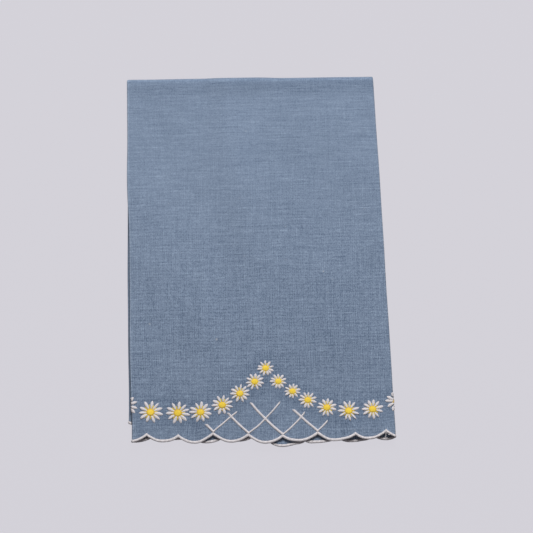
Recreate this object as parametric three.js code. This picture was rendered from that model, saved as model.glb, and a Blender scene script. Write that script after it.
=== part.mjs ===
// A linen guest towel with scalloped ends, folded as it lies on a shelf. Both long sides are
// turned to the back, then the towel is folded in half backwards, so that four layers lie on
// each other, and six where the side panels overlap. Millimetres: X runs across the towel, Y
// to the fold at the top and Z up. The origin is on the surface that the towel lies on, under
// the middle of its outline.

import * as THREE from 'three';

// The cut: fifteen whole scallops wide, measured between its two lines of cusps.
const scallopPitch = 25;
const scallopsAcross = 15;
const scallopDepth = 5.3;
const cutLength = 506;

// The cloth and how close its layers lie, from the middle of one to the middle of the next.
const thickness = 1;
const layerPitch = 1.5;

// The hem of the front layer: where the middle scallop is centred, and its rise to the right.
const hemCentre = [3.2, -125.7];
const hemRise = 0.95;

// The folds: the place of each line and its lean from upright, or its rise to the right.
const leftFold = { at: [-95.25, 0], lean: 0.74 };
const rightFold = { at: [88.75, 0], lean: 3.7 };
const topFold = { at: [0, 131.6], rise: 0.73 };

// The back half slips sideways by this share of the way down from the top fold. The far part
// of the right side panel is pulled up a little, over a short stretch beyond the fold.
const backSlip = -0.0085;
const panelPull = { from: 28, over: 26, rise: 3.2 };

// Where one side panel lies on the other, the layers above climb over it along these lengths.
const climb = 22;
const closingGap = 8;

// Low swells in the layers on top: the waves over the whole face, then lifted places at the hem.
const swell = 0.3;
const swellLength = { x: 95, y: 150 };
const hemLiftReach = 16;
const hemLifts = [
  { x: -92, width: 16, height: 1.3 },
  { x: 68, width: 9, height: 1.1 },
  { x: 93, width: 12, height: 1.9 },
];

// How finely the cloth is divided.
const panelColumns = 9;
const mainColumns = 19;
const sideFoldColumns = 5;
const frontRows = 13;
const backRows = 12;
const topFoldRows = 6;
const scallopSteps = 8;
const hemRowInset = 7;
const columnClearance = 1;
const foldSearchPasses = 6;

const clothColour = 0x7c8da4;
const clothRoughness = 0.92;

// Everything below follows from these sizes.
const radians = Math.PI / 180;
const halfWidth = (scallopPitch * scallopsAcross) / 2;
const sideRadius = layerPitch / 2;
const sideFoldLength = Math.PI * sideRadius;
const topRadius = layerPitch;
const topFoldLength = Math.PI * topRadius;
const panelDepth = layerPitch / 2;
const mainDepth = panelDepth + layerPitch;
const faceHeight = 2 * mainDepth + thickness;
const scallopRadius = (scallopPitch ** 2 / 4 + scallopDepth ** 2) / (2 * scallopDepth);

// Unit directions: along the hem, up the cloth, and out across each fold.
const alongHem = new THREE.Vector2(Math.cos(hemRise * radians), Math.sin(hemRise * radians));
const upCloth = new THREE.Vector2(-alongHem.y, alongHem.x);
const hemOrigin = new THREE.Vector2(...hemCentre);
const foldLines = {
  left: {
    at: new THREE.Vector2(...leftFold.at),
    out: new THREE.Vector2(-Math.cos(leftFold.lean * radians), -Math.sin(leftFold.lean * radians)),
  },
  right: {
    at: new THREE.Vector2(...rightFold.at),
    out: new THREE.Vector2(Math.cos(rightFold.lean * radians), Math.sin(rightFold.lean * radians)),
  },
  top: {
    at: new THREE.Vector2(...topFold.at),
    out: new THREE.Vector2(-Math.sin(topFold.rise * radians), Math.cos(topFold.rise * radians)),
  },
};

const lerp = THREE.MathUtils.lerp;
const smooth = (value) => THREE.MathUtils.smoothstep(value, 0, 1);
const bell = (distance, width) => Math.exp(-((distance / width) ** 2));

// A place on the flat cut, u across from the middle and v up from the front cusps, laid down
// in the plane of the front layer.
function laid(u, v) {
  return hemOrigin.clone().addScaledVector(alongHem, u).addScaledVector(upCloth, v);
}

// How far a place lies beyond a fold line.
function beyond(place, line) {
  return place.clone().sub(line.at).dot(line.out);
}

// How much of a side panel's cloth is still to come at a place that it covers once it is
// turned over: positive on the panel, negative past its free edge.
function panelLeft(place, line) {
  const inward = -beyond(place, line);
  const unfolded = place.clone().addScaledVector(line.out, 2 * inward + sideFoldLength);
  return halfWidth - Math.abs(unfolded.sub(hemOrigin).dot(alongHem));
}

// 1 where the left panel lies on the right one, falling softly to 0 around that place.
function overlap(place) {
  const left = panelLeft(place, foldLines.left);
  const right = panelLeft(place, foldLines.right);
  const meeting = smooth((left + right) / closingGap + 1);
  return smooth(left / climb + 1) * smooth(right / climb + 1) * meeting;
}

// The side folds. Cloth past the fold line goes round a half circle and back under the front.
// The depth is the distance from the towel's middle plane, and offset the distance from the
// middle of the cloth towards its right side. Where the side panels overlap, the right one
// is innermost and the rest climbs over it.
function turnSide(place, offset) {
  const isLeft = beyond(place, foldLines.left) > 0;
  const line = isLeft ? foldLines.left : foldLines.right;
  const far = Math.max(beyond(place, line), 0);
  const turn = Math.min(far / sideRadius, Math.PI);
  const past = Math.max(far - sideFoldLength, 0);
  const reach = (sideRadius + offset) * Math.sin(turn) - past;
  const turned = place.clone().addScaledVector(line.out, reach - far);
  if (!isLeft) {
    turned.y += panelPull.rise * smooth((past - panelPull.from) / panelPull.over);
  }
  const isInnermost = !isLeft && past > 0;
  const climbed = isInnermost ? 0 : overlap(turned) * layerPitch;
  const depth = layerPitch + (sideRadius + offset) * Math.cos(turn) + climbed;
  return { turned, depth };
}

// The lifts of the upper layers at a place of the folded towel.
function softLift(x, y, z) {
  const phase = 2 * Math.PI * (x / swellLength.x + y / swellLength.y);
  const fromHem = y - hemCentre[1];
  let lift = swell * (1 + Math.sin(phase));
  for (const { x: middle, width, height } of hemLifts) {
    lift += height * bell(x - middle, width) * bell(Math.max(fromHem, 0), hemLiftReach);
  }
  return lift * (z / faceHeight) ** 2;
}

// The whole folding: a place of the cut and an offset from the middle of the cloth, carried
// round the side folds and then round the top fold, to its place in the folded towel.
function folded(u, v, offset) {
  const { turned, depth } = turnSide(laid(u, v), offset);
  const { out } = foldLines.top;
  const signed = beyond(turned, foldLines.top);
  const far = Math.max(signed, 0);
  const turn = Math.min(far / topRadius, Math.PI);
  const past = Math.max(far - topFoldLength, 0);
  const reach = signed < 0 ? signed : depth * Math.sin(turn) - past;
  const final = turned.clone().addScaledVector(out, reach - signed);
  final.x += backSlip * past;
  const toBack = Math.max(topFoldLength - signed, 0) + Math.max(-signed, 0);
  const behind = turned.clone().addScaledVector(out, toBack);
  behind.x -= backSlip * Math.max(-signed, 0);
  const middlePlane = mainDepth + overlap(behind) * layerPitch + thickness / 2;
  const z = middlePlane + depth * Math.cos(turn);
  return new THREE.Vector3(final.x, final.y, z + softLift(final.x, final.y, z));
}

// How far a scallop reaches past the line of its cusps, as an arc of a circle.
function scallop(u) {
  const across = THREE.MathUtils.euclideanModulo(u + halfWidth, scallopPitch) - scallopPitch / 2;
  return Math.sqrt(scallopRadius ** 2 - across ** 2) - (scallopRadius - scallopDepth);
}

// Where the folds cross the flat cut. A side fold is a straight line there. The top fold
// bends where it meets the side panels, so its height is found by a few corrections.
function foldAcross(line, v) {
  const start = laid(0, v);
  return -beyond(start, line) / alongHem.dot(line.out);
}
function topFoldAt(u) {
  let v = cutLength / 2;
  for (let pass = 0; pass < foldSearchPasses; pass += 1) {
    v -= beyond(turnSide(laid(u, v), 0).turned, foldLines.top);
  }
  return v;
}

// The columns follow the side folds. A column is a number whose whole part says which of
// these five stretches it is in, and the rest is its share of that stretch.
function columnEdges(v) {
  const left = foldAcross(foldLines.left, v);
  const right = foldAcross(foldLines.right, v);
  return [-halfWidth, left - sideFoldLength, left, right, right + sideFoldLength, halfWidth];
}
const stretchColumns = [panelColumns, sideFoldColumns, mainColumns, sideFoldColumns, panelColumns];
const foldStretches = [1, 3];
function acrossAt(column, v) {
  const edges = columnEdges(v);
  const stretch = Math.min(Math.floor(column), stretchColumns.length - 1);
  return lerp(edges[stretch], edges[stretch + 1], column - stretch);
}
function columnAt(u, v) {
  const edges = columnEdges(v);
  const stretch = Math.max(edges.findLastIndex((edge) => edge < u), 0);
  return stretch + (u - edges[stretch]) / (edges[stretch + 1] - edges[stretch]);
}
const coarseColumns = stretchColumns.flatMap((count, stretch) =>
  Array.from({ length: count }, (_, step) => stretch + step / count),
);
coarseColumns.push(stretchColumns.length);

// The columns of a scalloped end: steps along each scallop, and the columns of the side folds.
function hemColumns(v) {
  const isFold = (column) =>
    foldStretches.some((stretch) => column >= stretch && column <= stretch + 1);
  const edges = columnEdges(v).slice(1, -1);
  const columns = coarseColumns.filter(isFold);
  for (let step = 0; step <= scallopsAcross * scallopSteps; step += 1) {
    const u = -halfWidth + (step * scallopPitch) / scallopSteps;
    const column = columnAt(u, v);
    const isClear = edges.every((edge) => Math.abs(edge - u) > columnClearance);
    if (isClear && !isFold(column)) {
      columns.push(column);
    }
  }
  return columns.sort((a, b) => a - b);
}

// The rows of the cut, from the front hem over the top fold to the back hem. Each is given a
// level to find its columns at, and then the height of each of its points.
const points = [];
const rows = [];
function addRow(columns, level, heightAt) {
  const row = columns.map((column) => {
    const v = heightAt(acrossAt(column, level));
    points.push({ u: acrossAt(column, v), v });
    return { column, index: points.length - 1 };
  });
  rows.push(row);
}
const middleTop = topFoldAt(0);
const backTop = middleTop + topFoldLength;
addRow(hemColumns(0), 0, (u) => -scallop(u));
for (let step = 0; step < frontRows; step += 1) {
  const share = step / frontRows;
  const heightAt = (u) => lerp(hemRowInset, topFoldAt(u), share);
  addRow(coarseColumns, lerp(hemRowInset, middleTop, share), heightAt);
}
for (let step = 0; step < topFoldRows; step += 1) {
  const along = (step / topFoldRows) * topFoldLength;
  addRow(coarseColumns, middleTop + along, (u) => topFoldAt(u) + along);
}
for (let step = 0; step <= backRows; step += 1) {
  const share = step / backRows;
  const heightAt = (u) => lerp(topFoldAt(u) + topFoldLength, cutLength - hemRowInset, share);
  addRow(coarseColumns, lerp(backTop, cutLength - hemRowInset, share), heightAt);
}
addRow(hemColumns(cutLength), cutLength, (u) => cutLength + scallop(u));

// Triangles between two neighbouring rows: each step goes along the row that is behind.
const triangles = [];
function joinRows(lower, upper) {
  let low = 0;
  let high = 0;
  while (low < lower.length - 1 || high < upper.length - 1) {
    const nextLow = lower[low + 1]?.column ?? Infinity;
    const nextHigh = upper[high + 1]?.column ?? Infinity;
    if (nextLow <= nextHigh) {
      triangles.push([lower[low].index, lower[low + 1].index, upper[high].index]);
      low += 1;
    } else {
      triangles.push([lower[low].index, upper[high + 1].index, upper[high].index]);
      high += 1;
    }
  }
}
for (let row = 0; row < rows.length - 1; row += 1) {
  joinRows(rows[row], rows[row + 1]);
}

// The cloth as one closed sheet: its right side, its wrong side and its edge all round.
function buildCloth() {
  const count = points.length;
  const positions = [];
  for (const offset of [thickness / 2, -thickness / 2]) {
    for (const { u, v } of points) {
      positions.push(...folded(u, v, offset).toArray());
    }
  }
  const indices = [];
  const openEdges = new Map();
  for (const [a, b, c] of triangles) {
    indices.push(a, b, c, count + a, count + c, count + b);
    for (const [from, to] of [[a, b], [b, c], [c, a]]) {
      if (!openEdges.delete(`${to} ${from}`)) {
        openEdges.set(`${from} ${to}`, [from, to]);
      }
    }
  }
  for (const [from, to] of openEdges.values()) {
    indices.push(to, from, count + from, to, count + from, count + to);
  }
  const geometry = new THREE.BufferGeometry();
  geometry.setAttribute('position', new THREE.Float32BufferAttribute(positions, 3));
  geometry.setIndex(indices);
  geometry.computeVertexNormals();
  return geometry;
}

const cloth = new THREE.Mesh(
  buildCloth(),
  new THREE.MeshStandardMaterial({
    color: clothColour,
    roughness: clothRoughness,
    metalness: 0,
    side: THREE.DoubleSide,
  }),
);
cloth.name = 'towel_cloth';

const towel = new THREE.Group();
towel.add(cloth);

export default towel;
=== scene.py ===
import math

import bpy
import numpy as np
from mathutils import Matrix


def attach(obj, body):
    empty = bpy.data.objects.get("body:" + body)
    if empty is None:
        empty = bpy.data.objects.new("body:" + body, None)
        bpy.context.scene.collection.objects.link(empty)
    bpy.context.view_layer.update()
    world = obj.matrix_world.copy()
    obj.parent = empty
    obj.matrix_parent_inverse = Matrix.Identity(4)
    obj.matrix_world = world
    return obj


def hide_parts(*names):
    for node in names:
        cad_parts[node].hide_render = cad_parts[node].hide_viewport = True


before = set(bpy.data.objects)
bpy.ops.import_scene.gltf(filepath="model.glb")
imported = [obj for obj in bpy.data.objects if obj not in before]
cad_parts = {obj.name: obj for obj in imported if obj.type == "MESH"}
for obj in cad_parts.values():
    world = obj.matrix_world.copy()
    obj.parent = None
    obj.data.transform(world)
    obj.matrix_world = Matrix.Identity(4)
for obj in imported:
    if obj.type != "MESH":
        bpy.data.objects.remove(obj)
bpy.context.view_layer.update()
mm = 0.001
tiny = 1e-9  # keeps a quotient from dividing by nothing

# The flat cut and its folds, close to the solid's, in millimetres and degrees. Places on the cut
# are u, across from the middle, and v, up from the cusps of the front hem.
towel = {
    "scallopPitch": 25,
    "scallopsAcross": 15,
    "cutLength": 506,  # between the two lines of cusps
    "cloth": 0.55,  # thickness of the linen
    "layerPitch": 1.5,  # from one layer's middle to the next
    "hemCentre": (3.2, -125.7),  # where u and v are nothing
    "hemRise": 0.95,  # how much the front hem rises to the right
    "leftFold": {"at": (-95.2, 0), "lean": 0.8},  # a place on the crease and its lean from upright
    "rightFold": {"at": (89.35, 0), "lean": 3.7},
    "topFold": {"at": (0, 132.3), "rise": 0.73},
    "leftStray": [  # where it strays, before the top fold: y, width, how far to the right
        (-112, 13, 0.5), (-66, 36, -0.6), (60, 25, -0.9), (205, 30, 0.4), (365, 40, 0.6),
    ],
    "rightStray": [(-127, 6, -0.4), (-100, 14, -0.5), (60, 55, 0.25)],
    "strayReach": 14,  # how far in it is felt
    "backSlip": -0.0085,  # sideways, for each millimetre down the back
    "flatterOverlap": 0.28,  # how much less the top fold reaches where four layers turn
    "panelPull": {"from": 28, "over": 26, "rise": 3.2},  # beyond the right fold
    "climb": 22,  # how softly a layer climbs onto a panel's edge
    "closingGap": 8,  # panels whose edges lie nearer than this lift what covers them
    "topBead": (0.42, 6.5),  # height and reach of the rise along the top fold
    "swell": 0.3,  # height of the slanting wave
    "swellLength": (95, 150),  # along x and along y
    "hemLiftReach": 15,  # up the cloth
    "hemLifts": [  # x, width, height
        (-88, 14, 2.2), (-35, 9, 1.4), (-8, 9, 0.9), (17, 9, 0.8), (42, 9, 1.3), (69, 9, 4),
        (92, 10, 4),
    ],
    "lowest": 0.02,  # no point lies lower than this
}
# how unevenly the hem lies: at each u, moved right and up
hemDrift = np.array([
    (-187, 0, 0.2), (-175, -0.5, 0.6), (-162, -3, -0.4), (-150, -2.3, -0.4), (-137, -2.5, 0.8),
    (-125, -2.5, 2.2), (-112, -2.5, 1.2), (-105, -1.5, 0.6), (-98, 0.5, 0.75), (-87.5, 0.8, 1.2),
    (-75, 0, 0.7), (-62.5, -1.24, -0.2), (-50, -1.5, -0.7), (-37.5, -0.66, 1.3), (-25, 0, -0.35),
    (-12.5, -0.1, 0), (0, 0, -1.5), (12.5, 0.15, -1.3), (25, 0, -0.5), (37.5, 0.6, 0.5), (50, 0, -0.6),
    (62.5, 3.3, -0.4), (75, 0.6, 0.4), (87.5, 0.8, 1.2), (94, 0, 2.2), (100, -3, 0.2), (106, -1, -0.8),
    (112, 0, -0.3), (125, 0, 1.5), (137, 0.9, -0.3), (150, 1.2, 0.2), (156, 0.6, 1.1),
    (162, -0.4, -3.8), (169, 0.6, 1.5), (175, 0.4, 0.1), (187, 0, -0.3),
])
driftBlend = 6.5  # width of the bells that blend the table
driftReach = 14.0  # how far up the cloth it reaches
# the back layer's hem drifts the other way, and sags where it shows at the left
backSag = {"at": -100.0, "width": 11.0, "depth": 3.2}
backDrift = hemDrift * (-1, 1, -0.6)
backDrift[:, 2] += backSag["depth"] * np.exp(-(((backDrift[:, 0] - backSag["at"]) / backSag["width"]) ** 2))
# the row of daisies, from the left fold over the peak to the right fold: u, v, radius
daisyRow = np.array([
    (-101.8, 23, 8.6), (-83.7, 17.9, 8.8), (-63.7, 17, 8.8), (-47.1, 17.4, 8.1),
    (-31.2, 22.4, 7.6), (-18.2, 30.5, 7.1), (-7.2, 39, 6.6), (0.95, 48.6, 6.1),
    (10, 38.8, 5.95), (20.25, 31.4, 5.95), (31.25, 24.8, 6.5), (45.15, 19.1, 7.2),
    (60.9, 16.55, 7.7), (78.55, 17.45, 7.8), (96.4, 22.9, 7.9),
])

halfWidth = towel["scallopPitch"] * towel["scallopsAcross"] / 2
halfCloth = towel["cloth"] / 2
hemMiddle = np.array(towel["hemCentre"])
sideRadius = towel["layerPitch"] / 2
sideFoldLength = math.pi * sideRadius
topRadius = towel["layerPitch"]
topFoldLength = math.pi * topRadius
mainDepth = 1.5 * towel["layerPitch"]  # from the lowest of four layers to the middle of the pile
faceHeight = 2 * mainDepth + towel["cloth"]
flatMargin = 10.0  # the flat cut lies this far up in its map


def toward(degrees):  # a step of 1 that way
    return np.array([math.cos(math.radians(degrees)), math.sin(math.radians(degrees))])


alongHem = toward(towel["hemRise"])
upCloth = toward(towel["hemRise"] + 90)
leftLine = (np.array(towel["leftFold"]["at"]), -toward(towel["leftFold"]["lean"]))
rightLine = (np.array(towel["rightFold"]["at"]), toward(towel["rightFold"]["lean"]))
topLine = (np.array(towel["topFold"]["at"]), toward(towel["topFold"]["rise"] + 90))


def smooth(value):  # 3t^2 - 2t^3, held between 0 and 1
    t = np.clip(value, 0, 1)
    return t * t * (3 - 2 * t)


def bell(distance, width):  # e to the minus (distance / width) squared
    return np.exp(-((distance / width) ** 2))


def laid(u, v):  # the hem's middle plus u along the hem plus v up the cloth
    return hemMiddle + u[..., None] * alongHem + v[..., None] * upCloth


def beyond(place, line):  # signed distance past a fold line
    return (place - line[0]) @ line[1]


# What is left of a side panel's cloth at a place that it covers: half the width less the
# distance from the middle of the cut, once the place is reflected back across the fold.
def panelLeft(place, line):
    inward = -beyond(place, line)
    unfolded = place + line[1] * (2 * inward + sideFoldLength)[..., None]
    return halfWidth - np.abs((unfolded - hemMiddle) @ alongHem)


# 1 where the left panel lies on the right one, falling softly to 0: the product of three smooth
# steps, on each panel's remaining cloth and on their sum.
def overlap(place):
    left, right = panelLeft(place, leftLine), panelLeft(place, rightLine)
    meeting = smooth((left + right) / towel["closingGap"] + 1)
    return smooth(left / towel["climb"] + 1) * smooth(right / towel["climb"] + 1) * meeting


# How far a crease strays sideways: bells along it, fading inwards with another bell.
def strayed(place, line, strays):
    shift = sum(far * bell(place[..., 1] - middle, width) for middle, width, far in strays)
    return shift * bell(beyond(place, line), towel["strayReach"])


# The side folds: past a fold line the cloth follows a half circle and runs back underneath.
# Across it goes (radius + offset) sin turn less the straight part, and its depth is a layer
# plus (radius + offset) cos turn, plus a layer where the panels overlap. Near a crease it strays
# sideways, and the right panel is pulled up by a smooth step of the straight part.
def turnSide(place, offset):
    isLeft = beyond(place, leftLine) > 0
    out = np.where(isLeft[..., None], leftLine[1], rightLine[1])
    far = np.maximum(np.where(isLeft, beyond(place, leftLine), beyond(place, rightLine)), 0)
    turn = np.minimum(far / sideRadius, math.pi)
    past = np.maximum(far - sideFoldLength, 0)
    reach = (sideRadius + offset) * np.sin(turn) - past
    turned = place + out * (reach - far)[..., None]
    turned[..., 0] += strayed(turned, leftLine, towel["leftStray"])
    turned[..., 0] += strayed(turned, rightLine, towel["rightStray"])
    pull = towel["panelPull"]
    turned[..., 1] += np.where(isLeft, 0, pull["rise"] * smooth((past - pull["from"]) / pull["over"]))
    climbed = np.where(~isLeft & (past > 0), 0, overlap(turned) * towel["layerPitch"])
    return turned, towel["layerPitch"] + (sideRadius + offset) * np.cos(turn) + climbed


# Low swells: one slanting wave, a bell along the top fold, and bells along the hem that fade with
# a bell up the cloth, all scaled by the square of the height in the pile.
def softLift(x, y, z):
    waveX, waveY = towel["swellLength"]
    lift = towel["swell"] * (1 + np.sin(2 * math.pi * (x / waveX + y / waveY)))
    height, reach = towel["topBead"]
    lift += height * bell(np.minimum(beyond(np.stack([x, y], -1), topLine), 0), reach)
    up = np.maximum(y - towel["hemCentre"][1], 0)
    for middle, width, height in towel["hemLifts"]:
        lift += height * bell(x - middle, width) * bell(up, towel["hemLiftReach"])
    return lift * (z / faceHeight) ** 2


# The small unevenness in the plane: the mean of a drift table, weighted with a bell along the hem
# and fading out with a smooth step up from it.
def drift(u, v):
    front = 1 - smooth(v / driftReach)
    back = 1 - smooth((towel["cutLength"] - v) / driftReach)
    moved = np.zeros(u.shape + (2,))
    for share, table in ((front, hemDrift), (back, backDrift)):
        weights = bell(u[..., None] - table[:, 0], driftBlend)
        moved += share[..., None] * (weights @ table[:, 1:] / (weights.sum(-1)[..., None] + tiny))
    return moved


puckers = {
    "waves": ((0.05, 8.3, 1.7, 31), (0.06, 9.1, 1.3, 23)),  # height, mm to a radian, bend, mm to its radian
    "calmHem": 30,  # how far up from the hem the waves grow
    "ripple": (0.07, 1.25, 3.1),  # height and both lengths of the ripples at the edging
    "rippleAt": (1, 5),  # where they are highest and how far they reach
    "mound": (0.32, 1.15),  # height under a daisy, and width in its radii
}


# The small unevenness across the plane, as a shift of the offset: slow bent waves, short ripples
# along the satin edging with a bell up from it, and a low bell under each daisy.
def pucker(u, v):
    (highU, pitchU, bendU, slowV), (highV, pitchV, bendV, slowU) = puckers["waves"]
    lift = highU * np.sin(u / pitchU + bendU * np.sin(v / slowV))
    lift += highV * np.sin(v / pitchV + bendV * np.sin(u / slowU))
    height, pitch, slow = puckers["ripple"]
    middle, reach = puckers["rippleAt"]
    lift *= smooth(v / puckers["calmHem"])
    lift += height * np.sin(u / pitch + np.sin(u / slow)) * bell(v - middle, reach)
    height, wide = puckers["mound"]
    for du, dv, radius in daisyRow:
        lift += height * bell(np.hypot(u - du, v - dv), radius * wide)
    return lift


# The whole folding: laid down and drifted, round the side folds, then round the top fold as a
# half circle about the middle plane, slipping sideways a little on the way down the back. What
# lies over the overlap of the back panels is lifted by a layer.
def folded(u, v, offset):
    u, v, offset = np.broadcast_arrays(*[np.asarray(given, float) for given in (u, v, offset)])
    turned, depth = turnSide(laid(u, v) + drift(u, v), offset + pucker(u, v))
    signed = beyond(turned, topLine)
    far = np.maximum(signed, 0)
    turn = np.minimum(far / topRadius, math.pi)
    past = np.maximum(far - topFoldLength, 0)
    rounded = depth * (1 - towel["flatterOverlap"] * overlap(turned)) * np.sin(turn)
    final = turned + topLine[1] * (np.where(signed < 0, signed, rounded - past) - signed)[..., None]
    final[..., 0] += towel["backSlip"] * past
    toBack = np.maximum(topFoldLength - signed, 0) + np.maximum(-signed, 0)
    behind = turned + topLine[1] * toBack[..., None]
    behind[..., 0] -= towel["backSlip"] * np.maximum(-signed, 0)
    z = mainDepth + overlap(behind) * towel["layerPitch"] + halfCloth + depth * np.cos(turn)
    z += softLift(final[..., 0], final[..., 1], z)
    return np.concatenate([final, np.maximum(z, towel["lowest"])[..., None]], -1)


def placed(name, data):  # a new object in the scene
    made = bpy.data.objects.new(name, data)
    bpy.context.scene.collection.objects.link(made)
    return made


# Points, faces as corner numbers and one flat place for each point become a mesh that rides on the towel.
# The gather shade is how much the sewing gathers the cloth there, with the painted shade round the daisies.
def addPiece(name, points, faceSets, flat, slot, gatherShade=None):
    mesh = bpy.data.meshes.new(name)
    counts = np.concatenate([np.full(len(f), f.shape[1]) for f in faceSets])
    corners = np.concatenate([f.ravel() for f in faceSets]).astype(np.int32)
    mesh.vertices.add(len(points))
    mesh.vertices.foreach_set("co", (points * mm).astype(np.float32).ravel())
    mesh.loops.add(len(corners))
    mesh.loops.foreach_set("vertex_index", corners)
    mesh.polygons.add(len(counts))
    mesh.polygons.foreach_set("loop_start", (np.cumsum(counts) - counts).astype(np.int32))
    mesh.update(calc_edges=True)
    mesh.polygons.foreach_set("use_smooth", np.ones(len(counts), bool))
    layer = mesh.uv_layers.new(name="flatCut")
    layer.uv.foreach_set("vector", (flat[corners] * mm).astype(np.float32).ravel())
    if gatherShade is not None:
        attribute = mesh.attributes.new("gatherAndShade", "FLOAT", "POINT")
        attribute.data.foreach_set("value", gatherShade.astype(np.float32))
    mesh.validate()
    piece = placed(name, mesh)
    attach(piece, "root")
    print(name, len(mesh.vertices), "points", sum(c - 2 for c in counts), "triangles")
    return piece


# A closed shell for each of many copies: rings of points joined ring to ring, and a point at
# either end joined to its ring.
def shells(rings, poles):
    copies, ringCount, sides, _ = rings.shape
    each = ringCount * sides + 2
    ring, side = np.meshgrid(np.arange(ringCount - 1), np.arange(sides), indexing="ij")
    a = (ring * sides + side).ravel()
    b = (ring * sides + (side + 1) % sides).ravel()
    quads = np.stack([a, b, b + sides, a + sides], 1)
    side = np.arange(sides)
    after = (side + 1) % sides
    last = (ringCount - 1) * sides
    ends = np.concatenate([
        np.stack([after, side, np.full(sides, each - 2)], 1),
        np.stack([last + side, last + after, np.full(sides, each - 1)], 1),
    ])
    points = np.concatenate([rings.reshape(copies, -1, 3), poles], 1).reshape(-1, 3)
    shift = (np.arange(copies) * each)[:, None, None]
    sets = [(quads + shift).reshape(-1, 4), (ends + shift).reshape(-1, 3)]
    return points, outward(points, sets, each, copies)


# Turns inside out the copies whose volume is negative: the sum of a . (b x c) over their triangles.
def outward(points, sets, each, copies):
    volume = np.zeros(copies)
    for faces in sets:
        for k in range(1, faces.shape[1] - 1):
            a, b, c = points[faces[:, 0]], points[faces[:, k]], points[faces[:, k + 1]]
            np.add.at(volume, faces[:, 0] // each, (a * np.cross(b, c)).sum(1))
    return [np.where((volume[f[:, 0] // each] < 0)[:, None], f[:, ::-1], f) for f in sets]


# The scalloped line: circles about one centre for each scallop, so every line keeps its distance.
hem = {
    "inset": 1.93,  # the inner line of cusps lies this far above v = 0
    "depth": 4.75,  # depth of a scallop along the inner line
    "width": 2.2,  # width of the satin edging
    "height": 0.75,  # half of its thickness
    "stitch": 0.45,  # from one stitch to the next
    "steps": 4,  # rings in a stitch
    "sides": 10,  # points in a ring
    "groove": 0.13,  # how much thinner it is between two stitches
    "ragged": 0.1,  # how unevenly the stitches end
    "flatPlace": (0.9, 2.0),  # half width and middle in the flat map
}
innerRadius = (towel["scallopPitch"] ** 2 / 4 + hem["depth"] ** 2) / (2 * hem["depth"])
circleHeight = hem["inset"] + math.sqrt(innerRadius ** 2 - towel["scallopPitch"] ** 2 / 4)


def hemLine(u):  # where the cloth ends, in the middle of the edging
    fromMiddle = np.mod(u + halfWidth, towel["scallopPitch"]) - towel["scallopPitch"] / 2
    return circleHeight - np.sqrt((innerRadius + hem["width"] / 2) ** 2 - fromMiddle ** 2)


# The linen. Columns follow the side folds and meet every cusp, rows follow the scalloped hem and
# the top fold; both sides are the fold map at plus and minus half the thickness.
cloth = {
    "columns": (46, 8, 120, 8, 46),  # left panel, fold, front, fold, right panel
    "cuspClear": 1.5,  # a cusp nearer to a fold has no column
    "hemZone": 80,  # closer rows up to here
    "backZone": 40,  # and this far from the end
    "rows": (56, 52, 12, 30, 21),  # hem, front, top fold, back, back hem
    "scallopReach": 12,  # how far up the rows bend with the scallops
    "topTries": 8,
    "hemThicker": 0.3,  # of the narrow turned hem along the long edges
    "hemWidth": 7,
    "hemStep": 0.6,  # over which it thickens
    # the gather and its painted shade round each daisy:
    "gatherShadeShare": 0.8,  # of a daisy's radius, where it begins to fade
    "gatherShadeFade": 6,
    "gatherShadeMost": 1.3,
}


def foldAcross(line, v):  # u where a side fold crosses the cut at height v
    start = hemMiddle + np.asarray(v)[..., None] * upCloth
    return -beyond(start, line) / (alongHem @ line[1])


def stretchEdges(v):  # u where each stretch of columns begins, and where the last ends
    left, right = foldAcross(leftLine, v), foldAcross(rightLine, v)
    ends = np.full(np.shape(v), halfWidth)
    return np.stack([-ends, left - sideFoldLength, left, right, right + sideFoldLength, ends], -1)


# Each stretch is shared out evenly between its ends and the cusps in it, a whole number of
# columns to each.
def columnShares(v):
    edges = stretchEdges(np.array(v))
    cusps = -halfWidth + towel["scallopPitch"] * np.arange(1, towel["scallopsAcross"])
    shares, stretches = [], []
    for stretch, count in enumerate(cloth["columns"]):
        low, high = edges[stretch], edges[stretch + 1]
        isInside = (cusps > low + cloth["cuspClear"]) & (cusps < high - cloth["cuspClear"])
        inside = (cusps[isInside] - low) / (high - low)
        known = np.concatenate([[0], np.round(inside * count), [count]])
        steps = np.arange(count + (stretch == len(cloth["columns"]) - 1))
        shares.append(np.interp(steps, known, np.concatenate([[0], inside, [1]])))
        stretches.append(np.full(len(steps), stretch))
    return np.concatenate(shares), np.concatenate(stretches)


frontShare, stretchOf = columnShares(0.0)
backShare, _ = columnShares(towel["cutLength"])


# u of every column at its own height v: its share of its stretch, blended from the front hem's
# shares to the back hem's.
def across(v):
    toBack = smooth((v - cloth["hemZone"]) / (towel["cutLength"] - cloth["hemZone"] - cloth["backZone"]))
    share = frontShare + (backShare - frontShare) * toBack
    edges = stretchEdges(v)
    low, high = (
        np.take_along_axis(edges, np.broadcast_to(stretchOf[:, None] + k, v.shape + (1,)), -1)[..., 0]
        for k in (0, 1))
    return low + (high - low) * share


# How much the sewing gathers the cloth, and how much painted shade lies round the daisies: 1 within a
# daisy, fading with a bell beyond it.
def gatherAndShade(u, v):
    gatherShade = np.zeros(u.shape)
    for du, dv, radius in daisyRow:
        outside = np.maximum(np.hypot(u - du, v - dv) - cloth["gatherShadeShare"] * radius, 0)
        gatherShade += bell(outside, cloth["gatherShadeFade"])
    return np.minimum(gatherShade, cloth["gatherShadeMost"])


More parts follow.
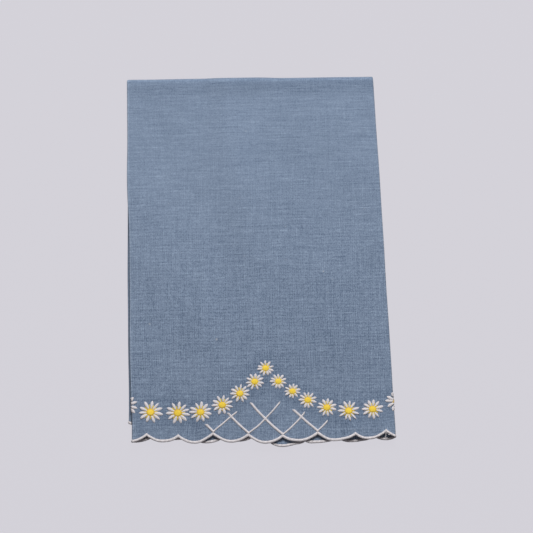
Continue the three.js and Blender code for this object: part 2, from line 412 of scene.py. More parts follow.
# A grid of rows evenly spaced from stop to stop, shifted by the scalloped line near either hem,
# folded twice for the two sides and closed by a strip of faces round its rim.
def buildCloth():
    ones = np.ones(len(stretchOf))
    top = towel["cutLength"] / 2 * ones
    for _ in range(cloth["topTries"]):  # the top fold's height in each column, by corrections
        top = top - beyond(turnSide(laid(across(top), top), 0 * ones)[0], topLine)
    end = towel["cutLength"] * ones
    stops = [0 * ones, cloth["hemZone"] * ones, top, top + topFoldLength, end - cloth["backZone"], end]
    rows = [low + (high - low) * np.linspace(0, 1, count, endpoint=False)[:, None]
            for low, high, count in zip(stops, stops[1:], cloth["rows"])]
    v = np.concatenate(rows + [end[None]])
    atFront = 1 - smooth(v / cloth["scallopReach"])
    atBack = 1 - smooth((towel["cutLength"] - v) / cloth["scallopReach"])
    v = v + hemLine(across(v)) * (atFront - atBack)
    u = across(v)
    u[:, 0], u[:, -1] = -halfWidth, halfWidth
    isHem = smooth((np.abs(u) - halfWidth + cloth["hemWidth"]) / cloth["hemStep"])
    upper = folded(u, v, halfCloth).reshape(-1, 3)
    lower = folded(u, v, -halfCloth - cloth["hemThicker"] * isHem).reshape(-1, 3)
    count = u.size
    grid = np.arange(count).reshape(u.shape)
    quads = np.stack([grid[:-1, :-1], grid[:-1, 1:], grid[1:, 1:], grid[1:, :-1]], -1).reshape(-1, 4)
    loop = np.concatenate([grid[0, :-1], grid[:-1, -1], grid[-1, :0:-1], grid[:0:-1, 0]])
    after = np.roll(loop, -1)
    rim = np.stack([loop + count, after + count, after, loop], 1)
    flat = np.stack([u.ravel() + halfWidth, v.ravel() + flatMargin], 1)
    gatherShade = gatherAndShade(u, v).ravel()
    return addPiece("towel_linen", np.concatenate([upper, lower]), [quads, quads[:, ::-1] + count, rim],
                    np.concatenate([flat, flat]), "blue_linen", np.concatenate([gatherShade, gatherShade]))


sewing = {
    "sunk": 0.05,  # how deep thread on the cloth sits in it
    "roundness": 0.75,  # of its top: 1 is an ellipse, less is fuller
}


def ringAngles(sides, start=0.5):  # evenly round, the first a share of a step from nothing
    return 2 * math.pi * (np.arange(sides) + start) / sides


def grooved(stitches, groove):  # a cosine, 1 in the middle of each stitch and less at its ends
    return 1 - groove * (1 + np.cos(2 * math.pi * stitches)) / 2


# The flat places of a strip of rings, along and across, with the mean of a ring for either end.
def stripFlat(lengthwise, crosswise):
    flat = np.stack(np.broadcast_arrays(lengthwise[:, None], crosswise), -1)
    return np.concatenate([flat.reshape(-1, 2), flat[[0, -1]].mean(1)])


def tube(rings):  # one shell, each end closed by its ring's mean
    return shells(rings[None], rings[[0, -1]].mean(1)[None])


# The satin edging: a ring of points carried along every scallop. The ring is an ellipse from the
# inner line to the outer one, and each stitch swells between two grooves and ends a little unevenly.
def buildEdging(name, atBack, seed):
    rng = np.random.default_rng(seed)
    pitch = towel["scallopPitch"]
    arc = 2 * innerRadius * math.asin(pitch / 2 / innerRadius)
    perScallop = int(round(arc / hem["stitch"]))
    stitches = towel["scallopsAcross"] * perScallop
    along = np.arange(stitches * hem["steps"] + 1) / (perScallop * hem["steps"])
    scallop = np.minimum(np.floor(along), towel["scallopsAcross"] - 1)
    local = 2 * (along - scallop) - 1
    stitch = np.minimum(along * perScallop, stitches - 1).astype(int)
    phase = along * perScallop - np.floor(along * perScallop)
    swell = grooved(phase, hem["groove"])
    ragged = rng.uniform(-1, 1, (2, stitches))[:, stitch] * hem["ragged"] * np.sin(math.pi * phase)
    ring = ringAngles(hem["sides"])
    inward, raised = np.cos(ring), np.sin(ring)
    uneven = np.where(inward > 0, ragged[0][:, None], ragged[1][:, None])
    reach = hem["width"] / 2 * swell[:, None] ** 0.5 + uneven
    radius = innerRadius + hem["width"] / 2 - inward * reach
    turn = local[:, None] * np.arcsin(pitch / 2 / radius)
    u = -halfWidth + pitch * (scallop[:, None] + 0.5) + radius * np.sin(turn)
    v = circleHeight - radius * np.cos(turn)
    if atBack:
        v = towel["cutLength"] - v
    offset = hem["height"] * swell[:, None] * np.sign(raised) * np.abs(raised) ** sewing["roundness"]
    points, sets = tube(folded(u, v, offset))
    half, middle = hem["flatPlace"]
    flat = stripFlat(along * perScallop * hem["stitch"], inward * half + middle)
    addPiece(name, points, sets, flat, "white_thread")


# The daisies: petals, the short stitches that fill the gaps between them, and hearts.
petal = {
    "angles": (  # of the left slope, the three at the peak and the right slope
        (17, 46, 80, 120, 154.5, 181, 211, 247.5, 288, 320.5, 348.5),
        (23, 49, 84, 122.6, 156, 186, 214, 246, 290, 323, 350),
        (15, 53, 93, 131, 162, 187, 218, 253, 288, 314, 342),
        (16, 52, 90, 123, 153, 179, 211, 248, 280, 312, 342),
        (15, 50, 82, 118, 150, 178.5, 208.5, 244, 275, 309, 344.5),
    ),
    "slopes": (-12, -3, 5, 15),  # u where the next set of angles begins
    "cutFrom": 90,  # daisies farther out are carried round the side folds
    "cutFiner": 3,  # with this many times the rings
    "angleSpread": 2.5,
    "length": (0.95, 1.04),  # in radii
    "longer": (0.05, 0.3),  # longer by this along the hem, and all shorter by a share of it
    "width": (0.3, 8.8, -0.28),  # share of the radius at this radius, and how fast it thins
    "widthSpread": (0.82, 1.18),
    "outline": ((0, 0.08, 0.32, 0.56, 0.76, 0.9, 1), (0.4, 0.5, 0.78, 1, 0.86, 0.52, 0.18)),
    "profile": ((0, 0.15, 0.6, 0.9, 1), (0.6, 0.85, 1, 0.75, 0.3)),  # its height from heart to tip
    "underside": 0.35,  # its depth, as a share of the rise
    "grid": (7, 7, 9),  # rings, sides, and sides where the daisy is cut
    "endGap": 0.6,  # from an end to its first ring, in steps
    "rise": 0.5,
    "start": 0.85,  # in radii of the heart
    "flatMiddle": 3,  # of a petal, in the flat map
}
filler = {
    "grid": (3, 5),
    "spread": 3,
    "reach": 0.62,
    "reachSpread": (0.92, 1.08),
    "cutShorter": 1.6,  # how many times shorter those of the cut daisies are
    "least": 0.5,  # how far they reach past the heart
    "start": 0.7,
    "width": 1.15,
    "rise": 0.28,
    "outline": ((0, 1), (1, 0.7)),
}
heart = {
    "size": (0.96, 0.226),  # plus this share of the radius
    "stretch": (1.13, 0.95),  # along the hem and up the cloth
    "rise": 0.62,
    "depth": 0.2,
    "fullness": 0.8,  # of its side: 1 is round, less is fuller
    "rings": 11,
    "sides": 28,
    "flatMiddle": 20,  # in the flat map, both ways
}


# Closed lenses, one for each place and angle. Rings crowd towards both ends as a cosine, half the
# width is the outline times a ring's cosine, and the height is the profile times its sine.
def lens(place, angle, inner, outer, width, rise, outline, ringCount, sides):
    gap = petal["endGap"]
    share = (1 - np.cos(math.pi * (np.arange(ringCount) + gap) / (ringCount - 1 + 2 * gap))) / 2
    ring = ringAngles(sides)
    half = np.interp(share, *outline)[:, None] * np.cos(ring)
    rounded = np.abs(np.sin(ring)) ** sewing["roundness"]
    raised = np.where(np.sin(ring) > 0, rounded, petal["underside"] * np.sin(ring))
    bulge = np.interp(share, *petal["profile"])[:, None] * raised
    r = inner[:, None, None] + (outer - inner)[:, None, None] * share[None, :, None]
    w = width[:, None, None] / 2 * half[None]
    ca, sa = np.cos(angle)[:, None, None], np.sin(angle)[:, None, None]
    u = place[:, 0, None, None] + ca * r - sa * w
    v = place[:, 1, None, None] + sa * r + ca * w
    rings = folded(u, v, halfCloth - sewing["sunk"] + rise * bulge)
    ends = np.stack([inner, outer], 1)
    endU = place[:, 0, None] + ca[..., 0] * ends
    endV = place[:, 1, None] + sa[..., 0] * ends
    points, sets = shells(rings, folded(endU, endV, halfCloth))
    sideways = np.stack([np.broadcast_to(r, w.shape), w + petal["flatMiddle"]], -1)
    tips = np.stack([ends, np.full_like(ends, petal["flatMiddle"])], -1)
    flat = np.concatenate([sideways.reshape(len(angle), -1, 2), tips], 1).reshape(-1, 2)
    return points, sets, flat


def heartRadius(radius):  # grows evenly with its daisy's
    start, share = heart["size"]
    return start + share * radius


# A heart is a low dome: rings widen from the top as the sine of an angle and come back under,
# and its height is the cosine.
def domes(rows):
    ringCount, sides = heart["rings"], heart["sides"]
    lower = math.pi * (np.arange(ringCount) + 1) / (ringCount + 1)
    ring = ringAngles(sides, 0)
    radius = heartRadius(rows[:, 2])[:, None, None]
    spread = np.sin(lower)[None, :, None] ** heart["fullness"] * radius
    x, y = spread * np.cos(ring), spread * np.sin(ring)
    wide, tall = heart["stretch"]
    u = rows[:, 0, None, None] + x * wide
    v = rows[:, 1, None, None] + y * tall
    height = np.where(np.cos(lower) > 0, heart["rise"], heart["depth"])
    rings = folded(u, v, halfCloth + (np.cos(lower) * height)[None, :, None])
    ends = halfCloth + np.array([heart["rise"], -heart["depth"]])
    points, sets = shells(rings, folded(rows[:, :1], rows[:, 1:2], ends))
    flat = np.stack([x, y], -1).reshape(len(rows), -1, 2)
    flat = np.concatenate([flat, np.zeros((len(rows), 2, 2))], 1) + heart["flatMiddle"]
    return points, sets, flat.reshape(-1, 2)


def joined(parts):  # several shells as one, their corner numbers moved on
    points, sets, flats, start = [], [], [], 0
    for part, faces, flat in parts:
        points.append(part)
        flats.append(flat)
        sets += [f + start for f in faces]
        start += len(part)
    return np.concatenate(points), sets, np.concatenate(flats)


# A petal's length and width are shares of its daisy's radius with a random spread, and a stitch
# lies halfway between each petal and the next.
def buildDaisies():
    rng = np.random.default_rng(23)
    count = len(petal["angles"][0])
    whites, yellows = [], []
    isCut = np.abs(daisyRow[:, 0]) > petal["cutFrom"]
    petalRings, *petalSides = petal["grid"]
    stitchRings, stitchSides = filler["grid"]
    for rows, fine, sides, shorter in (
            (daisyRow[~isCut], 1, petalSides[0], 1),
            (daisyRow[isCut], petal["cutFiner"], petalSides[1], filler["cutShorter"])):
        place = np.repeat(rows[:, :2], count, 0)
        size = np.repeat(rows[:, 2], count)
        many = len(size)
        known = np.array(petal["angles"])[np.digitize(rows[:, 0], petal["slopes"])]
        turned = rng.uniform(-petal["angleSpread"], petal["angleSpread"], many)
        angle = np.radians(known.ravel() + turned)
        middle = heartRadius(size)
        most, less = petal["longer"]
        length = size * (rng.uniform(*petal["length"], many) + most * (np.cos(2 * angle) - less))
        share, full, thinning = petal["width"]
        width = size * share * (size / full) ** thinning * rng.uniform(*petal["widthSpread"], many)
        whites.append(lens(place, angle, middle * petal["start"], length, width,
                           petal["rise"], petal["outline"], petalRings * fine, sides))
        after = np.roll(known, -1, 1)
        halfway = ((known + after + 360 * (after < known)) / 2).ravel()
        between = np.radians(halfway + rng.uniform(-filler["spread"], filler["spread"], many))
        reach = size * filler["reach"] * rng.uniform(*filler["reachSpread"], many)
        reach = np.maximum(reach / shorter, middle + filler["least"])
        yellows.append(lens(place, between, middle * filler["start"], reach,
                            np.full(many, filler["width"]), filler["rise"],
                            filler["outline"], stitchRings * fine, stitchSides))
        yellows.append(domes(rows))
    addPiece("daisy_petals", *joined(whites), "white_thread")
    addPiece("daisy_hearts", *joined(yellows), "yellow_thread")


# The trellis: each line is a bent path of three places on the cut, a parabola through them, with
# a ring of points carried along it in stitches.
trellis = {
    "widths": (1.43, 2.05),  # climbing to the right and to the left
    "rise": 0.55,
    "underside": 0.4,  # its depth, as a share of the rise
    "stitch": 0.75,
    "steps": 4,  # rings in a stitch
    "sides": 8,
    "groove": 0.2,
    "slant": 0.35,  # of the stitches across the line
    "tip": (0.4, 0.35),  # length of the taper and its share of the width
    "flatPlace": (0.5, 3),
    "lines": (  # start, middle and end, each u and v
        ((-37.9, 1.2), (-29.9, 9.6), (-20.4, 17.2)), ((-36.9, 1.6), (-40.15, 5.2), (-43, 8.5)),
        ((-11.5, 1.3), (-20.05, 8.9), (-27.2, 16.6)), ((-13.2, 1), (-0.15, 11.75), (11, 23.7)),
        ((13.3, 1.1), (0.26, 11.75), (-10.4, 23.85)), ((11.7, 1), (21.7, 8.1), (28.9, 16)),
        ((38, 1.4), (29.5, 9.7), (20.4, 18.1)), ((37.2, 1.6), (41.6, 5.6), (45.6, 9.8)),
    ),
}


def headings(path):  # unit steps along a path
    step = np.gradient(path, axis=0)
    return step / np.linalg.norm(step, axis=1)[:, None]


def buildTrellis():
    parts = []
    ring = ringAngles(trellis["sides"])
    raised = np.where(np.sin(ring) > 0, np.sin(ring), trellis["underside"] * np.sin(ring)) * trellis["rise"]
    tipLength, tipShare = trellis["tip"]
    half, level = trellis["flatPlace"]
    for start, middle, end in np.array(trellis["lines"]):
        bend = 2 * middle - (start + end) / 2
        length = np.linalg.norm(end - start)
        stitches = int(round(length / trellis["stitch"]))
        share = np.arange(stitches * trellis["steps"] + 1) / (stitches * trellis["steps"])
        t = share[:, None]
        path = (1 - t) ** 2 * start + 2 * t * (1 - t) * bend + t ** 2 * end
        heading = headings(path)
        swell = grooved(share * stitches, trellis["groove"])
        swell *= np.clip(np.minimum(share, 1 - share) * length / tipLength, tipShare, 1)
        width = trellis["widths"][int(end[0] < start[0])]
        side = width / 2 * np.cos(ring) * swell[:, None]
        slant = trellis["slant"] * np.cos(ring)
        u = path[:, :1] - heading[:, 1:] * side + heading[:, :1] * slant
        v = path[:, 1:] + heading[:, :1] * side + heading[:, 1:] * slant
        points, sets = tube(folded(u, v, halfCloth - sewing["sunk"] + raised * swell[:, None]))
        parts.append((points, sets, stripFlat(share * length, np.cos(ring) * half + level)))
    addPiece("trellis_lines", *joined(parts), "white_thread")


# Loose thread ends in the notch near the right fold: a thin ring carried along a line through a
# few places, smoothed by moving each point halfway to the mean of its neighbours.
looseThreads = {
    "thickness": 0.55,
    "rings": 24,
    "sides": 7,
    "smoothing": 3,
    "flatLength": 6,
    "flatMiddle": 2,
    "paths": (  # x, y, z in millimetres
        ((91.1, -123.4, 10.3), (90.8, -124.4, 10.2), (91, -125.8, 10), (90.2, -127.4, 9.6)),
        ((92.3, -123.6, 10.3), (92.3, -124.6, 10.2), (93, -125.5, 10.1), (93.8, -125.1, 10)),
    ),
}


def buildLooseThreads():
    parts = []
    share = np.linspace(0, 1, looseThreads["rings"])
    ring = ringAngles(looseThreads["sides"], 0)
    flat = stripFlat(share * looseThreads["flatLength"], np.cos(ring) + looseThreads["flatMiddle"])
    for path in np.array(looseThreads["paths"]):
        known = np.linspace(0, 1, len(path))
        line = np.stack([np.interp(share, known, path[:, k]) for k in range(3)], 1)
        for _ in range(looseThreads["smoothing"]):
            line[1:-1] = (line[:-2] + 2 * line[1:-1] + line[2:]) / 4
        heading = headings(line)
        sideways = np.cross(heading, [0.0, 0.0, 1.0])
        sideways /= np.linalg.norm(sideways, axis=1)[:, None] + tiny
        upward = np.cross(sideways, heading)
        around = np.cos(ring)[:, None] * sideways[:, None] + np.sin(ring)[:, None] * upward[:, None]
        rings = line[:, None] + looseThreads["thickness"] / 2 * around
        points, sets = shells(rings[None], line[[0, -1]][None])
        parts.append((points, sets, flat))
    addPiece("loose_threads", *joined(parts), "white_thread")


# Shader values as Python expressions: each operator adds a Math node.
class Value:
    def __init__(self, finish, socket):
        self.finish = finish
        self.socket = socket

    def math(self, operation, *others):
        return self.finish.node("Math", {"operation": operation}, dict(enumerate((self,) + others)))

    def __add__(self, other):
        return self.math("ADD", other)

    def __sub__(self, other):
        return self.math("SUBTRACT", other)

    def __mul__(self, other):
        return self.math("MULTIPLY", other)

    def __truediv__(self, other):
        return self.math("DIVIDE", other)

    def __pow__(self, other):
        return self.math("POWER", other)

    def __rsub__(self, other):
        return self * -1 + other

    __radd__ = __add__
    __rmul__ = __mul__

    def floor(self):
        return self.math("FLOOR")

    def part(self):
        return self.math("FRACT")

    def sine(self):
        return self.math("SINE")


class Finish:
    def __init__(self, name):
        self.material = bpy.data.materials.new(name)
        self.material.use_nodes = True
        self.tree = self.material.node_tree
        self.tree.nodes.clear()

    def node(self, kind, settings, sockets, output=0):
        made = self.tree.nodes.new("ShaderNode" + kind)
        for key, value in settings.items():
            setattr(made, key, value)
        for key, value in sockets.items():
            if isinstance(value, Value):
                self.tree.links.new(value.socket, made.inputs[key])
            else:
                made.inputs[key].default_value = value
        return Value(self, made.outputs[output])

    def flatPlace(self):  # the place on the cut and its two parts, in millimetres
        place = self.scaled(self.node("UVMap", {"uv_map": "flatCut"}, {}), 1 / mm)
        u = self.node("SeparateXYZ", {}, {0: place})
        return place, u, Value(self, u.socket.node.outputs[1])

    def vector(self, x, y, z=0.0):
        return self.node("CombineXYZ", {}, {0: x, 1: y, 2: z})

    def noise(self, place, detail=1.0):
        sockets = {"Vector": place, "Scale": 1.0, "Detail": detail, "Roughness": 0.5}
        return self.node("TexNoise", {}, sockets)

    def blend(self, share, a, b):
        return self.node("Mix", {"data_type": "RGBA", "blend_type": "MIX"}, {0: share, 6: a, 7: b}, 2)

    def scaled(self, place, by):
        return self.node("VectorMath", {"operation": "SCALE"}, {0: place, "Scale": by})

    def between(self, value, low, high):  # smooth step from low to high
        return self.node("MapRange", {"interpolation_type": "SMOOTHSTEP"}, {0: value, 1: low, 2: high})

    def band(self, value, start, full, until, gone):  # rises to 1 and falls again by smooth steps
        return self.between(value, start, full) * (1 - self.between(value, until, gone))

    def finish(self, colour, rough, height, distance, constants):
        bump = self.node("Bump", {}, {"Height": height, "Distance": distance, "Strength": 1.0})
        sockets = {"Base Color": colour, "Roughness": rough, "Normal": bump, **constants}
        return self.close(self.node("BsdfPrincipled", {}, sockets))

    def close(self, shader):
        self.tree.links.new(shader.socket, self.tree.nodes.new("ShaderNodeOutputMaterial").inputs[0])
        return self.material


# Chambray linen, from indigo to pale yarn. A yarn's number is the floor of its place over the pitch,
# and plain weave puts the warp on top where the two numbers add up to an even one. Each yarn has a
# tone that drifts slowly along it, each crossing a grain of its own, and some yarns have slubs.
linen = {
    "warpPitch": 0.5,
    "weftPitch": 0.55,
    "indigo": (0.0593, 0.0968, 0.1635, 1),
    "pale": (0.372, 0.465, 0.607, 1),
    "contrast": 1.35,
    "warpTone": (0.4, 25, 3.71),  # strength, length along a yarn, and from yarn to yarn
    "weftTone": (0.44, 15, 5.13),
    "longTone": (0.26, 60, 4.31),  # a slower drift of the weft
    "longFrom": 0.4,  # its share at the hem
    "grain": 0.38,
    "weave": 0.05,  # how much darker the warp is
    "slub": (0.12, 0.6),  # strength, and the warp's share of it
    "slubFrom": ((0.2, 0.3), (0.22, 0.32)),  # tones of the weft and of the warp
    "clouds": (0.1, 0.04),  # strength and scale
    "lattice": (0.04, 0.045),  # faint bands across and along the cut, from the loom
    "latticePitch": (2.35, 1.6),
    "latticeBend": (14, 0.02),  # strength and scale
    "fadeFrom": (78, 245),  # yarns stand out less from here to here up the map
    "fade": {"most": 0.45, "weft": 0.5, "warp": 1.3, "across": 1.5, "along": 1.8},
    # how much darker the gathered cloth is, partly painted shade round the daisies
    "gatherAndShade": 0.09,
    "creaseHighlight": 0.16,  # how much paler the left crease is, a painted highlight
    "creaseHighlightFrom": (-0.6, 0.1, 0.8, 1.5),  # where the painted highlight lies past the crease: from, full, until, gone
    "paintedPatches": ((-62, 175, 90, 0.04), (45, 80, 70, -0.035)),  # u, v, reach, how much paler: painted light, and painted shade where it is less than nothing
    "topShade": (255, 264, 0.05),  # up the map from, to, and how much darker
    "rightShade": (150, 220, 0.05),  # across it from, to, and how much more
    "waver": (1.2, 0.025),  # strength and scale
    "specks": {"scale": 0.33, "from": (0.865, 0.9), "share": 0.4, "colour": (0.55, 0.53, 0.52, 1)},
    "roughness": (0.86, 0.1),  # and how much it follows the clouds
    "bump": 0.0001,
    "bumpShares": (0.5, 0.8),  # of the slubs and of the tones
    "cloth": {"Sheen Weight": 0.25, "Sheen Roughness": 0.5, "Specular IOR Level": 0.25},
}


# A painted highlight along a side crease: a band of the distance past it, which is linear in the flat
# place.
def creaseHighlight(f, u, v, line):
    acrossFold, alongFold = alongHem @ line[1], upCloth @ line[1]
    start = beyond(hemMiddle, line) - halfWidth * acrossFold - flatMargin * alongFold
    past = u * float(acrossFold) + v * float(alongFold) + float(start)
    return f.band(past, *linen["creaseHighlightFrom"])


# Painted light and shade on the linen: a painted highlight along the left crease, round patches of painted
# light and painted shade that fall off with a smooth step, and painted shade along the top fold, most at
# the right.
def paintedLightAndShade(f, u, v):
    pale = creaseHighlight(f, u, v, leftLine) * linen["creaseHighlight"]
    # round patches of painted light and painted shade
    for middleU, middleV, reach, paler in linen["paintedPatches"]:
        away = ((u - halfWidth - middleU) ** 2 + (v - flatMargin - middleV) ** 2) ** 0.5
        pale += (1 - f.between(away, 0.0, reach)) * paler
    low, high, darker = linen["topShade"]
    left, right, more = linen["rightShade"]
    return pale - f.between(v, low, high) * (f.between(u, left, right) * more + darker)


# The last number of each noise's place only keeps the noises apart.
def linenFinish():
    f = Finish("chambray_linen")
    place, u, v = f.flatPlace()
    # pale holds the painted highlight and the painted shade
    pale = paintedLightAndShade(f, u, v)
    waver, slow = linen["waver"]
    u = u + f.noise(f.scaled(place, slow)) * waver
    v = v + f.noise(f.vector(u * slow, v * slow, 4.0)) * waver
    warp, weft = u / linen["warpPitch"], v / linen["weftPitch"]
    warpNumber, weftNumber = warp.floor(), weft.floor()
    warpStrength, length, apart = linen["warpTone"]
    warpTone = f.noise(f.vector(warpNumber * apart, v / length, 1.0)) - 0.5
    weftStrength, length, apart = linen["weftTone"]
    weftTone = f.noise(f.vector(u / length, weftNumber * apart, 9.0)) - 0.5
    longStrength, length, apart = linen["longTone"]
    longTone = f.noise(f.vector(u / length, weftNumber * apart, 5.0)) - 0.5
    crossing = f.vector(warpNumber, weftNumber)
    grain = f.node("TexWhiteNoise", {"noise_dimensions": "2D"}, {"Vector": crossing}) - 0.5
    (slub, warpShare), (weftFrom, warpFrom) = linen["slub"], linen["slubFrom"]
    slubs = f.between(weftTone, *weftFrom) + f.between(warpTone, *warpFrom) * warpShare
    cloudStrength, scale = linen["clouds"]
    clouds = f.noise(f.scaled(place, scale), detail=3.0) - 0.5
    warpRound = 1 - (warp.part() * 2 - 1) ** 2
    weftRound = 1 - (weft.part() * 2 - 1) ** 2
    isWarp = f.between(((warpNumber + weftNumber) * 0.5).part(), 0.2, 0.3)  # this part is 0 or 0.5
    fade = linen["fade"]
    faint = f.between(v, *linen["fadeFrom"]) * fade["most"]
    streaks = weftTone * weftStrength * (1 - faint * fade["weft"])
    streaks += longTone * longStrength * (linen["longFrom"] + faint)
    streaks += warpTone * warpStrength * (1 - faint * fade["warp"])
    streaks += grain * linen["grain"] * (1 - faint)
    bend, scale = linen["latticeBend"]
    phase = f.noise(f.scaled(place, scale)) * bend
    (acrossStrength, alongStrength), (acrossPitch, alongPitch) = linen["lattice"], linen["latticePitch"]
    acrossBands = (v * (2 * math.pi / acrossPitch) + phase).sine() * (1 - faint * fade["across"])
    alongBands = (u * (2 * math.pi / alongPitch) + phase).sine() * (1 - faint * fade["along"])
    gatherShade = f.node("Attribute", {"attribute_name": "gatherAndShade"}, {}, 2)
    share = 0.5 + streaks + slubs * slub + clouds * cloudStrength + (0.5 - isWarp) * linen["weave"]
    share += acrossBands * acrossStrength + alongBands * alongStrength
    # the painted light and shade, less the gather and its painted shade round the daisies
    share += pale - gatherShade * linen["gatherAndShade"]
    share = share.math("MAXIMUM", 0.0) ** linen["contrast"]
    specks = linen["specks"]
    speck = f.between(f.noise(f.scaled(place, specks["scale"]), detail=0.0), *specks["from"])
    colour = f.blend(share, linen["indigo"], linen["pale"])
    colour = f.blend(speck * specks["share"], colour, specks["colour"])
    ofSlubs, ofTones = linen["bumpShares"]
    height = weftRound + (warpRound - weftRound) * isWarp
    height += slubs * ofSlubs + (warpTone + weftTone) * ofTones
    roughness, follows = linen["roughness"]
    return f.finish(colour, roughness + clouds * follows, height, linen["bump"], linen["cloth"])


# Satin thread: fine strands across the piece's first flat direction, with a painted highlight on their
# crests and painted shade in the grooves between them.
thread = {
    # the crest colour is a painted highlight on the strands, the groove colour painted shade between them
    "crest": (0.75, 0.718, 0.724, 1),
    "groove": (0.46, 0.41, 0.425, 1),
    "strand": 0.4,
    "wobble": (0.7, 0.25),  # scale and strength
    "fibres": (5, 0.8),  # scales across and along
    "paler": (0.75, 0.35, 0.5, 0.32),  # by crests as a painted highlight, by wobble and fibres, and everywhere
    "roughness": (0.5, 0.15),  # and how much it follows the fibres
    "fibreBump": 0.5,
    "bump": 0.00008,
    "satin": {"Sheen Weight": 0.15, "Specular IOR Level": 0.35},
}


# Fine strands side by side: the sine of the distance across them, which a slow noise bends.
def strands(f, place, distance, look):
    scale, strength = look["wobble"]
    wobble = f.noise(f.scaled(place, scale), detail=2.0) - 0.5
    return wobble, (((distance + wobble * strength) * (2 * math.pi / look["strand"])).sine() + 1) * 0.5


def threadFinish():
    f = Finish("white_satin")
    place, u, v = f.flatPlace()
    wobble, crest = strands(f, place, u, thread)
    acrossScale, alongScale = thread["fibres"]
    fibre = f.noise(f.vector(u * acrossScale, v * alongScale), detail=2.0) - 0.5
    byCrestHighlight, byWobble, byFibre, always = thread["paler"]
    # crests paler as a painted highlight, grooves darker as painted shade
    share = crest * byCrestHighlight + wobble * byWobble + fibre * byFibre + always
    colour = f.blend(share.math("MINIMUM", 1.0), thread["groove"], thread["crest"])
    roughness, follows = thread["roughness"]
    height = crest + fibre * thread["fibreBump"]
    return f.finish(colour, roughness + fibre * follows, height, thread["bump"], thread["satin"])


# A heart is stitched round and round: its rings are the sine of the distance from the middle, paler on
# their crests as a painted highlight, and painted shade darkens it to orange at the rim where the dome
# turns down. The stitches between petals share its finish.
heartLook = {
    # the crest colour is a painted highlight, the groove colour painted shade
    "crest": (0.90, 0.65, 0.065, 1),
    "groove": (0.80, 0.54, 0.04, 1),
    "strand": 0.42,
    "wobble": (0.9, 0.5),  # scale and strength
    "paler": (0.5, 0.5, 0.4),  # by crests as a painted highlight, by wobble, and everywhere
    # painted shade where the dome turns down at its edge
    "rim": (0.52, 0.29, 0.015, 1),
    "rimShadeFrom": (1.5, 2.75, 4, 5),  # from the middle: from, full, until, gone
    "rimShadeShare": 0.7,
    "stitch": (0.68, 0.50, 0.03, 1),
    "stitchFrom": (8, 9),  # stitches lie this far from it in the flat map
    "stitchShare": 0.85,
    "roughness": (0.52, 0.1),  # and how much it follows the wobble
    "satin": {"Sheen Weight": 0.15, "Specular IOR Level": 0.3},
}


def heartFinish():
    f = Finish("yellow_heart")
    place, u, v = f.flatPlace()
    away = ((u - heart["flatMiddle"]) ** 2 + (v - heart["flatMiddle"]) ** 2) ** 0.5
    wobble, crest = strands(f, place, away, heartLook)
    # the band of painted shade round the dome's edge
    rim = f.band(away, *heartLook["rimShadeFrom"])
    byCrestHighlight, byWobble, always = heartLook["paler"]
    share = crest * byCrestHighlight + wobble * byWobble + always
    colour = f.blend(share, heartLook["groove"], heartLook["crest"])
    isStitch = f.between(away, *heartLook["stitchFrom"])
    colour = f.blend(isStitch * heartLook["stitchShare"], colour, heartLook["stitch"])
    colour = f.blend(rim * heartLook["rimShadeShare"], colour, heartLook["rim"])
    roughness, follows = heartLook["roughness"]
    return f.finish(colour, roughness + wobble * follows, crest, thread["bump"], heartLook["satin"])


# The light box: a pale floor that glows almost evenly, one broad soft light from above the top
# fold and even light all round.
studio = {
    "floorColour": (0.656, 0.642, 0.693, 1),  # the pale grey of the floor as it looks
    "floorHalf": 3,  # half its width, in metres
    "floorGlow": 0.98,
    "belowColour": (0.13, 0.125, 0.135, 1),
    "below": -0.5,  # height of the matt floor, in millimetres
    "keyPlace": (0.12, 1.0, 1.1),
    "keySize": 0.55,
    "keyPower": 27.5,
    "around": 0.26,
}


def buildFloor(name, height, colour, glowing):
    mesh = bpy.data.meshes.new(name)
    half = studio["floorHalf"]
    corners = [(half * x, half * y, height) for x, y in ((-1, -1), (1, -1), (1, 1), (-1, 1))]
    mesh.from_pydata(corners, [], [(0, 1, 2, 3)])
    floor = placed(name, mesh)
    f = Finish(name)
    glow = f.node("Emission", {}, {"Color": colour, "Strength": 1.0})
    matt = f.node("BsdfDiffuse", {}, {"Color": colour})
    both = f.node("MixShader", {}, {0: glowing, 1: matt, 2: glow})
    mesh.materials.append(f.close(both))
    return floor


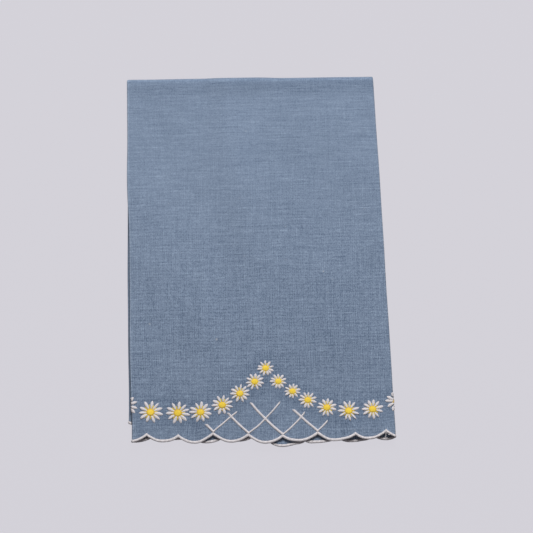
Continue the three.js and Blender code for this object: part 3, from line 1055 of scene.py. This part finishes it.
# Just below the floor that shows lies a matt one, which only throws light back.
def buildStudio():
    shown = buildFloor("floor", 0.0, studio["floorColour"], studio["floorGlow"])
    shown.visible_diffuse = shown.visible_glossy = shown.visible_shadow = False
    below = buildFloor("floor_below", studio["below"] * mm, studio["belowColour"], 0.0)
    below.visible_camera = False
    light = bpy.data.lights.new("key_light", "AREA")
    light.shape, light.size, light.energy = "DISK", studio["keySize"], studio["keyPower"]
    key = placed("key_light", light)
    key.location = studio["keyPlace"]
    key.rotation_euler = (-key.location).to_track_quat("-Z", "Y").to_euler()
    world = bpy.data.worlds.new("light_box")
    world.use_nodes = True
    sky = world.node_tree.nodes["Background"]
    sky.inputs["Color"].default_value = studio["floorColour"]
    sky.inputs["Strength"].default_value = studio["around"]
    bpy.context.scene.world = world
    bpy.context.scene.view_settings.view_transform = "Standard"


camera = {
    "middle": (3.94, -2.92),  # the place under the middle of the photo, in millimetres
    "height": 1600,
    "above": 5,  # height of the plane that the pixel's size holds for
    "pixel": 0.73,
    "frame": 533,
    "sensor": 36,
    "clip": (0.05, 20),
}


# The focal length is the sensor's width times the distance over the width that the frame shows.
def buildCamera():
    optics = bpy.data.cameras.new("camera")
    optics.sensor_width = camera["sensor"]
    wide = camera["frame"] * camera["pixel"]
    optics.lens = camera["sensor"] * (camera["height"] - camera["above"]) / wide
    optics.clip_start, optics.clip_end = camera["clip"]
    eye = placed("camera", optics)
    eye.location = [place * mm for place in (*camera["middle"], camera["height"])]
    bpy.context.scene.camera = eye


linenPiece = buildCloth()
buildEdging("front_edging", False, 5)
buildEdging("back_edging", True, 6)
buildDaisies()
buildTrellis()
buildLooseThreads()
print("pieces made")

whiteSatin = threadFinish()
linenPiece.data.materials.append(linenFinish())
for name in ("front_edging", "back_edging", "daisy_petals", "trellis_lines", "loose_threads"):
    bpy.data.objects[name].data.materials.append(whiteSatin)
bpy.data.objects["daisy_hearts"].data.materials.append(heartFinish())
print("finishes made")

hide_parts("towel_cloth")
buildStudio()
buildCamera()
print("studio made")
